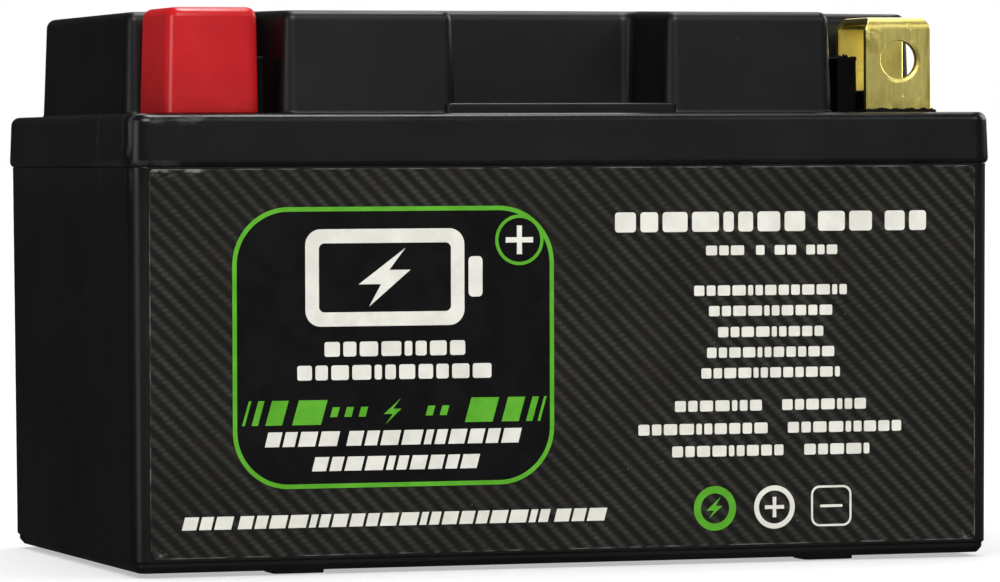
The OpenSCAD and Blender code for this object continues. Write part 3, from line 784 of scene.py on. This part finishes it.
cover = Shell()
cover_rings = [cap_ring(CAP_LOW, 1.25, 0), cap_ring(CAP_LOW, 0.18), cap_ring(CAP_LOW + 0.08, 0.04)]
for k in range(5):
    cover_rings.append(cap_ring(CAP_LOW + 0.25 + (CAP_TOP - CAP_EDGE - CAP_LOW - 0.25) * k / 4))
for k in range(1, 9):
    a = math.pi / 2 * k / 8
    cover_rings.append(cap_ring(CAP_TOP - CAP_EDGE * (1 - math.sin(a)), CAP_EDGE * (1 - math.cos(a))))
cover_loops = cover.loft(cover_rings, start_cap=False)
cavity = box_corners(-POST_X - 6.25, -POST_X + 6.25, -38.5, -22.6, 0.55)
cavity_rings = [ring(cavity, inset, z) for inset, z in (
    (0.5, 90.7), (0.12, 90.6), (0, 90.3), (0, CAP_LOW + 0.2), (-0.15, CAP_LOW))]
cavity_loops = cover.loft([with_front(r, 0) for r in cavity_rings], end_cap=False)
cover.bridge(cavity_loops[-1], cover_loops[0])
cap_obj = cover.make("terminal_cover", RED, body="cap")
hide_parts("terminal_cap")

# ---- terminals

def strip_path(steps=8):
    """(y, z, direction y, direction z) along the strip's outer face, from its front foot to its tail."""
    r = POST_BEND
    points = []
    for z in (DECK - 1.1, 76.5, 79.0, 82.0, 85.0, 87.2, POST_TOP - r):
        points.append((0.0, z, 0.0, 1.0))
    for i in range(1, steps + 1):
        a = math.pi / 2 * i / steps
        points.append((r - r * math.cos(a), POST_TOP - r + r * math.sin(a), math.sin(a), math.cos(a)))
    for y in (4.5, 7.0, 9.5):
        points.append((y, POST_TOP, 1.0, 0.0))
    for i in range(0, steps + 1):
        a = math.pi / 2 * i / steps
        points.append((POST_DEPTH - r + r * math.sin(a), POST_TOP - r + r * math.cos(a),
                       math.cos(a), -math.sin(a)))
    for z in (86.0, 82.0, 78.0, DECK - 0.6):
        points.append((POST_DEPTH, z, 0.0, -1.0))
    return points


def strip_half_width(z):
    """Half width of the strip: full on the legs, narrowed across the bends and the top."""
    full = STRIP_W / 2
    fade = 1.9
    if z < POST_TOP - fade:
        return full
    drop = min(1.0, (z - (POST_TOP - fade)) / fade)
    return full - 0.95 * (drop ** 1.3)


def terminal(name, side):
    """Bent strip with its bolt hole, and a drilled tail that runs down into the lid."""
    middle = side * POST_X
    back = POST_FRONT + POST_DEPTH
    edge = 0.22
    rings = []
    for y, z, dy, dz in strip_path():
        half = strip_half_width(z)
        ny, nz = -dz, dy
        # cross-section: outer face, rounded long edges, inner face
        right = [(half - edge, 0.0), (half - edge * 0.3, edge * 0.3), (half, edge)]
        right += [(x, STRIP_T - t) for x, t in reversed(right)]
        loop = right + [(0, STRIP_T)] + [(-x, t) for x, t in reversed(right)] + [(0, 0.0)]
        rings.append([(middle + x, POST_FRONT + y - ny * t, z - nz * t) for x, t in loop])
    strip = Shell()
    strip.loft([list(reversed(r)) for r in rings])
    tail = box_corners(middle - 4, middle + 4, back - STRIP_T, back, 0.2)
    strip.loft([ring(tail, inset, z, 3) for inset, z in ((0.15, 60.5), (0, 60.7), (0, 74.4))])
    obj = strip.make(name, BRASS, weighted=False)
    cut(obj, drill(middle, POST_FRONT, POST_FRONT + STRIP_T, HOLE_Z, HOLE_R, 0.07))
    cut(obj, drill(side * 60.3, back - STRIP_T, back, 64.7, 2.1, 0.15))
    smooth(obj, 30)
    return obj


neg = terminal("terminal_strip_negative", 1)
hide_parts("negative_terminal")
pos = terminal("terminal_strip_positive", -1)
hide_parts("positive_terminal")

# notch in the cap that clears the rib beside the terminal
notch_x = -POST_X + 7.65
cut(cap_obj, cutter_box(notch_x - 2.4, notch_x + 1, -35.6, -28.2, 73.0, 84.3))
smooth(cap_obj, 35)

# ---- label and its print

def on_label(u, v, level):
    """Point over the front wall: across, up, and the distance in front of the wall."""
    wall_y = -CASE_Y - FLARE * (v - FLARE_START)
    return (u, wall_y - level, v)


class Print:
    """Flat printed shapes on the label: thin closed solids between two distances from the wall."""

    def __init__(self, back, front):
        self.shell = Shell()
        self.levels = (back, front)

    def shape(self, *loops, levels=None):
        """loops: an outer counter-clockwise loop of (across, up), then clockwise holes."""
        s = self.shell
        back_level, front_level = levels or self.levels
        front, back = [], []
        for loop in loops:
            front.append(s.add([on_label(u, v, front_level) for u, v in loop]))
            back.append(s.add([on_label(u, v, back_level) for u, v in loop]))
        flat_front = [i for loop in front for i in loop]
        flat_back = [i for loop in back for i in loop]
        polys = [[Vector((u, v, 0)) for u, v in loop] for loop in loops]
        points = [p for loop in polys for p in loop]
        for tri in tessellate_polygon(polys):
            a, b, c = (points[i] for i in tri)
            order = tri if (b - a).cross(c - a).z > 0 else (tri[0], tri[2], tri[1])
            s.faces.append(tuple(flat_front[i] for i in order))
            s.faces.append(tuple(flat_back[i] for i in reversed(order)))
        for f, b in zip(front, back):
            n = len(f)
            for i in range(n):
                j = (i + 1) % n
                s.faces.append((f[j], f[i], b[i], b[j]))

    def make(self, name, material):
        obj = self.shell.make(name, material, angle=20, weighted=False)
        return obj


def round_rect(x0, x1, z0, z1, r, steps=10):
    return [(p.x, p.y) for p in outline(box_corners(x0, x1, z0, z1, r), 0, steps)]


def circle(x, z, r, n=64):
    return [(x + r * math.cos(2 * math.pi * k / n), z + r * math.sin(2 * math.pi * k / n))
            for k in range(n)]


def slanted(x0, x1, z0, z1, slant):
    return [(x0, z0), (x1, z0), (x1 + slant, z1), (x0 + slant, z1)]


def hole(loop):
    return list(reversed(loop))


def plus_sign(x, z, size):
    """Plus sign with arms that are a little wider at their ends."""
    loop = [(-0.45, -2.35), (0.45, -2.35), (0.42, -0.42), (2.35, -0.45), (2.35, 0.45), (0.42, 0.42),
            (0.45, 2.35), (-0.45, 2.35), (-0.42, 0.42), (-2.35, 0.45), (-2.35, -0.45), (-0.42, -0.42)]
    return [(x + a * size, z + b * size) for a, b in loop]


film = Print(0.0, LABEL_T)
film.shape(round_rect(-LABEL_X, LABEL_X, LABEL_LOW, LABEL_HIGH, 0.9, 6))
label_obj = film.make("label_film", CARBON)
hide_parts("front_label")

# every print starts just inside the film and stands a little proud of it
PRINT_BACK = LABEL_T - 0.02
PRINT_FRONT = LABEL_T + 0.04
MARK_X = -8.95
MARK_Z = 53.9
ICON_Z = 9.1

panel = Print(PRINT_BACK, LABEL_T + 0.015)
panel.shape(round_rect(-57.3, -3.35, 14.2, 59.2, 9.1, 16))
panel.make("badge_panel", BADGE_BLACK)

mark_panel = Print(LABEL_T, LABEL_T + 0.038)
mark_panel.shape(circle(MARK_X, MARK_Z, 3.9))
mark_panel.make("badge_plus_panel", BADGE_BLACK)

# green outline of the badge and of the round corner mark
green = Print(PRINT_BACK, LABEL_T + 0.03)
green.shape(round_rect(-57.63, -3.02, 13.87, 59.51, 9.4, 20),
            hole(round_rect(-56.90, -3.75, 14.60, 58.78, 8.7, 20)))
green.shape(circle(MARK_X, MARK_Z, 4.15), hole(circle(MARK_X, MARK_Z, 3.6)),
            levels=(PRINT_BACK, LABEL_T + 0.045))
# row of slanted bars, with a generic charge mark between them
bar_z0, bar_z1, bar_slant = 24.2, 28.2, 1.15
for left, width in ((-57.0, 0.45), (-55.4, 1.05), (-53.1, 2.8), (-48.6, 4.85),
                    (-19.3, 4.75), (-13.0, 2.95), (-8.8, 1.1), (-6.8, 0.45)):
    left += 0.9
    green.shape(slanted(left, left + width, bar_z0, bar_z1, bar_slant))
for left in (-41.3, -38.9, -36.5, -25.1, -22.7):
    green.shape(slanted(left, left + 1.2, bar_z0 + 1.2, bar_z1 - 1.2, bar_slant * 0.4))
green.shape([(-31.9, 24.1), (-29.2, 26.6), (-30.6, 26.6), (-29.3, 28.3), (-32.2, 25.75), (-30.7, 25.75)])
green.make("green_print", GREEN)

white = Print(PRINT_BACK, PRINT_FRONT)
BLOCK_WIDTHS = (1.0, 0.72, 1.3, 0.85, 1.1, 0.5, 1.2)


def bars(centre_z, height, spans, slant=0.0):
    """Row of plain bars and blocks of uneven width that stands in for a line of print."""
    gap = height * 0.24
    pitch = height * 1.25
    z0 = centre_z - height / 2
    z1 = centre_z + height / 2
    for x0, x1 in spans:
        count = max(1, round((x1 - x0) / pitch))
        parts = [BLOCK_WIDTHS[k * 3 % len(BLOCK_WIDTHS)] for k in range(count)]
        unit = (x1 - x0 - gap * (count - 1)) / sum(parts)
        left = x0
        for part in parts:
            width = part * unit
            if slant:
                white.shape(slanted(left, left + width, z0, z1, slant))
            else:
                white.shape(round_rect(left, left + width, z0, z1, height * 0.16, 3))
            left += width + gap


# generic battery pictogram with a bolt
white.shape(round_rect(-45.4, -18.4, 40.1, 55.9, 2.6, 8), hole(round_rect(-43.1, -20.7, 42.4, 53.6, 0.9, 6)))
white.shape(round_rect(-17.7, -15.3, 44.7, 51.3, 0.7, 5))
white.shape([(-34.6, 43.3), (-27.6, 49.2), (-31.2, 49.2), (-28.4, 52.8), (-36.4, 46.9), (-32.6, 46.9)])
white.shape(plus_sign(MARK_X, MARK_Z, 1), levels=(LABEL_T, LABEL_T + 0.055))
# lines of print in the badge and under it
bars(36.4, 2.4, ((-42.2, -18.3),))
bars(32.6, 2.4, ((-46.8, -13.8),))
bars(21.9, 2.4, ((-52.3, -40.2), (-38.6, -9.2)), 0.6)
bars(17.8, 2.3, ((-44.4, -16.4),), 0.6)
bars(8.6, 2.1, ((-66.2, -58.0), (-56.9, -4.2), (-3.1, 5.6)), 0.55)
# right-hand column
column_x = 34.9
bars(56.6, 3.3, ((7.6, 41.0), (43.3, 52.9), (55.2, 62.6)))
bars(51.85, 1.6, ((23.5, 30.2), (32.3, 33.8), (35.6, 39.4), (41.2, 46.7)))
for z, width in ((45.2, 27.0), (41.8, 21.8), (38.3, 18.6), (34.9, 22.5), (31.5, 24.5)):
    bars(z, 1.7, ((column_x - width / 2, column_x + width / 2),))
bars(26.1, 1.8, ((18.0, 33.3), (36.9, 51.8)))
bars(22.3, 1.8, ((11.6, 34.3), (37.9, 58.1)))
bars(18.6, 1.8, ((17.5, 37.1), (40.8, 52.4)))
# plain icons: a plus in a ring and a minus in a thin rounded square
white.shape(circle(35.5, ICON_Z, 3.6), hole(circle(35.5, ICON_Z, 2.75)))
white.shape(plus_sign(35.5, ICON_Z, 0.72))
white.shape(round_rect(42.0, 49.2, ICON_Z - 3.4, ICON_Z + 3.4, 1.5, 8),
            hole(round_rect(42.35, 48.85, ICON_Z - 3.05, ICON_Z + 3.05, 1.2, 8)))
white.shape(round_rect(43.6, 47.6, ICON_Z - 0.22, ICON_Z + 0.22, 0.2, 4))
white.make("white_print", WHITE)

# bolt in a green ring
green_icon = Print(PRINT_BACK, PRINT_FRONT)
green_icon.shape(circle(25.0, ICON_Z, 3.7), hole(circle(25.0, ICON_Z, 2.5)))
green_icon.shape([(23.9, 7.4), (26.3, 9.5), (25.1, 9.5), (26.0, 11.0), (23.5, 8.75), (24.8, 8.75)])
green_icon.make("green_icon", GREEN)

# ---- sealed pieces inside

finishes = {
    "sealant": inner_finish("grey_sealant", (0.08, 0.08, 0.085), (0.13, 0.13, 0.135)),
    "potting": inner_finish("black_potting", (0.012, 0.012, 0.013), (0.03, 0.03, 0.032), 0.0, (0.15, 0.35)),
    "cell_wrap": inner_finish("cell_sleeve", (0.012, 0.09, 0.25), (0.02, 0.13, 0.32), 0.0, (0.18, 0.32)),
    "tray_plastic": inner_finish("tray_plastic", (0.03, 0.03, 0.033), (0.055, 0.055, 0.06)),
    "nickel": inner_finish("nickel_strip", (0.55, 0.53, 0.48), (0.68, 0.66, 0.60), 1.0, (0.2, 0.4)),
    "fibre": inner_finish("fibre_sheet", (0.32, 0.28, 0.16), (0.42, 0.38, 0.24), 0.0, (0.7, 0.9), 900),
    "board": inner_finish("board_mask", (0.008, 0.09, 0.035), (0.014, 0.13, 0.055), 0.0, (0.2, 0.4)),
    "chip": inner_finish("chip_body", (0.012, 0.012, 0.013), (0.025, 0.025, 0.026)),
    "plug_plastic": inner_finish("plug_plastic", (0.62, 0.60, 0.52), (0.74, 0.72, 0.64)),
    "wire_cover": inner_finish("wire_cover", (0.38, 0.012, 0.012), (0.5, 0.025, 0.025), 0.0, (0.3, 0.5)),
    "steel": inner_finish("zinc_steel", (0.48, 0.48, 0.5), (0.62, 0.62, 0.64), 1.0, (0.25, 0.45)),
    "copper": inner_finish("copper_strap", (0.68, 0.30, 0.16), (0.82, 0.42, 0.25), 1.0, (0.22, 0.42)),
    "foam": inner_finish("foam_block", (0.035, 0.035, 0.038), (0.08, 0.08, 0.085), 0.0, (0.8, 1.0), 700, 900),
}
slots = {s["node"]: s["material_slot"] for s in frame["record"]["subparts"]}
for node, obj in frame["nodes"].items():
    if slots[node] in finishes:
        obj.data.materials.clear()
        obj.data.materials.append(finishes[slots[node]])


def foam_block(node):
    """Soft foam piece with rounded edges and slightly uneven faces, inside its CAD solid."""
    low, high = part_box(node)
    centre = (low + high) / 2
    half = (high - low) / 2
    edge = min(half) * 0.45
    bm = bmesh.new()
    bmesh.ops.create_cube(bm, size=2)
    bmesh.ops.subdivide_edges(bm, edges=bm.edges[:], cuts=14, use_grid_fill=True)
    dice = random.Random(node)
    phases = [dice.uniform(0, 6.28) for _ in range(3)]
    for v in bm.verts:
        p = Vector((v.co.x * half.x, v.co.y * half.y, v.co.z * half.z))
        core = Vector([max(-(h - edge), min(h - edge, c)) for c, h in zip(p, half)])
        out = p - core
        if out.length > 0:
            reach = max(abs(c) for c in out)
            p = core + out.normalized() * reach
        dent = 0.5 + 0.5 * math.sin(p.x * 260 + phases[0]) * math.cos(p.z * 210 + phases[1]) \
            * math.cos(p.y * 240 + phases[2])
        p -= out.normalized() * (edge * 0.25 * dent) if out.length > 0 else Vector()
        v.co = centre + p
    mesh = bpy.data.meshes.new(node + "_soft")
    bm.to_mesh(mesh)
    bm.free()
    obj = add_object(node + "_soft", mesh)
    dress(obj, finishes["foam"], "battery", 60, False)
    soft = obj.modifiers.new("round", "SUBSURF")
    soft.levels = soft.render_levels = 1
    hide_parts(node)


for name in ("foam_left", "foam_right", "foam_front", "foam_back"):
    foam_block(name)

# ---- floor, light and camera

def floor_material():
    """Pale, nearly even floor."""
    t = Tree("pale_floor")
    color = t.mix(t.spread(t.noise(3, 3, 0.5), 0.3, 0.7), (0.80, 0.80, 0.80), (0.84, 0.84, 0.84))
    rough = t.spread(t.noise(8, 3, 0.5), 0.3, 0.7, 0.55, 0.65)
    return t.finish(color, rough, t.bump(t.noise(300), 0.0001, 0.2))


FLOOR_REACH = 40000
FLOOR_Z = -0.1
floor_corners = [(sx * FLOOR_REACH, sy * FLOOR_REACH, FLOOR_Z)
                 for sx, sy in ((-1, -1), (1, -1), (1, 1), (-1, 1))]
floor = mesh_object("floor", floor_corners, [(0, 1, 2, 3)])
floor.data.materials.append(floor_material())
floor.visible_glossy = False


def place_light(light, name, place, aim):
    """Puts a light at a place in metres, turned towards its aim."""
    obj = add_object(name, light)
    obj.location = place
    obj.rotation_euler = (Vector(aim) - Vector(place)).to_track_quat("-Z", "Y").to_euler()
    return obj


def softbox(name, place, aim, width, height, power):
    """Rectangular light; its size is in metres and its power in watts."""
    light = bpy.data.lights.new(name, "AREA")
    light.shape = "RECTANGLE"
    light.size = width
    light.size_y = height
    light.energy = power
    return place_light(light, name, place, aim)


def light_group(name, *objects):
    """Collection of the pieces that a light is linked to."""
    group = bpy.data.collections.new(name)
    for obj in objects:
        group.objects.link(obj)
    return group


floor_only = light_group("floor_only", floor)
all_but_floor = light_group("all_but_floor", floor)
all_but_floor.collection_objects[0].light_linking.link_state = "EXCLUDE"
brass_only = light_group("brass_only", neg, pos)
cap_only = light_group("cap_only", cap_obj)

# overhead light on the floor alone: one that the part shades and one that it doesn't
for name, energy, shaded in (("floor_shaded", 1.5, True), ("floor_even", 3.2, False)):
    sky = bpy.data.lights.new(name, "SUN")
    sky.energy = energy
    sky.angle = math.radians(100)
    sky_obj = place_light(sky, name, (0, 0, 3), (0, 0, 0))
    sky_obj.light_linking.receiver_collection = floor_only
    if not shaded:
        sky_obj.light_linking.blocker_collection = floor_only

# the brass and cap cards stand in for the reflectors of a product picture
for name, place, aim, size, power, receivers in (
    ("key", (-0.30, -1.40, 1.10), (0, 0, 0.04), (0.9, 0.9), 17.5, all_but_floor),
    ("fill", (1.10, -1.20, 1.00), (0, 0, 0.05), (0.7, 0.7), 3.5, all_but_floor),
    ("front", (0.75, -2.10, 0.15), (0, 0, 0.05), (1.8, 1.2), 1.35, all_but_floor),
    ("top", (0.15, 0.05, 1.10), (0, 0, 0.05), (0.4, 0.3), 5.5, all_but_floor),
    ("back", (0.40, 1.00, 1.30), (0, 0, 0.05), (0.9, 0.6), 6, all_but_floor),
    ("left_strip", (-1.20, -0.60, 0.25), (0, 0, 0.06), (0.45, 0.9), 2.6, all_but_floor),
    ("right_side", (1.20, 0.45, 0.55), (0, 0, 0.06), (0.9, 0.7), 5, all_but_floor),
    ("brass_card_right", (0.80, -0.25, 0.25), (0.06, -0.03, 0.085), (0.5, 0.5), 12, brass_only),
    ("brass_card_back", (0.75, 0.95, 0.30), (0.06, -0.03, 0.085), (1.2, 0.8), 9, brass_only),
    ("cap_card_left", (-1.25, -0.45, 0.25), (-0.06, -0.03, 0.085), (0.30, 0.7), 6, cap_only),
    ("cap_card_top", (0.10, 0.05, 1.10), (-0.06, -0.03, 0.085), (0.5, 0.3), 9, cap_only),
):
    softbox(name, place, aim, *size, power).light_linking.receiver_collection = receivers

# the camera sees a white background; the part is lit by a dim one
world = bpy.data.worlds.new("studio")
world.use_nodes = True
nodes = world.node_tree.nodes
links = world.node_tree.links
seen = nodes.new("ShaderNodeBackground")
lit = nodes["Background"]
for background, strength in ((seen, 1.0), (lit, 0.035)):
    background.inputs["Color"].default_value = (1, 1, 1, 1)
    background.inputs["Strength"].default_value = strength
path = nodes.new("ShaderNodeLightPath")
blend = nodes.new("ShaderNodeMixShader")
links.new(path.outputs["Is Camera Ray"], blend.inputs[0])
links.new(lit.outputs[0], blend.inputs[1])
links.new(seen.outputs[0], blend.inputs[2])
links.new(blend.outputs[0], nodes["World Output"].inputs["Surface"])
bpy.context.scene.world = world
bpy.context.scene.view_settings.view_transform = "Standard"

# place and turn of the camera, as fitted to the picture with the pinhole model
yaw, pitch, roll = math.radians(17.76), math.radians(1.27), math.radians(0.266)
forward = Vector((math.sin(yaw) * math.cos(pitch), math.cos(yaw) * math.cos(pitch), -math.sin(pitch)))
across = Vector((math.cos(yaw), -math.sin(yaw), 0))
down = forward.cross(across)
right = across * math.cos(roll) + down * math.sin(roll)
lower = -across * math.sin(roll) + down * math.cos(roll)
camera_data = bpy.data.cameras.new("camera")
camera_data.sensor_width = 36
camera_data.lens = 213.14
camera_data.clip_start = 0.01
camera_data.clip_end = 60
camera = add_object("camera", camera_data)
turn = Matrix((right, -lower, -forward)).transposed().to_4x4()
camera_place = (-0.30767, -0.96516, 0.06702)
camera.matrix_world = Matrix.Translation(camera_place) @ turn
bpy.context.scene.camera = camera
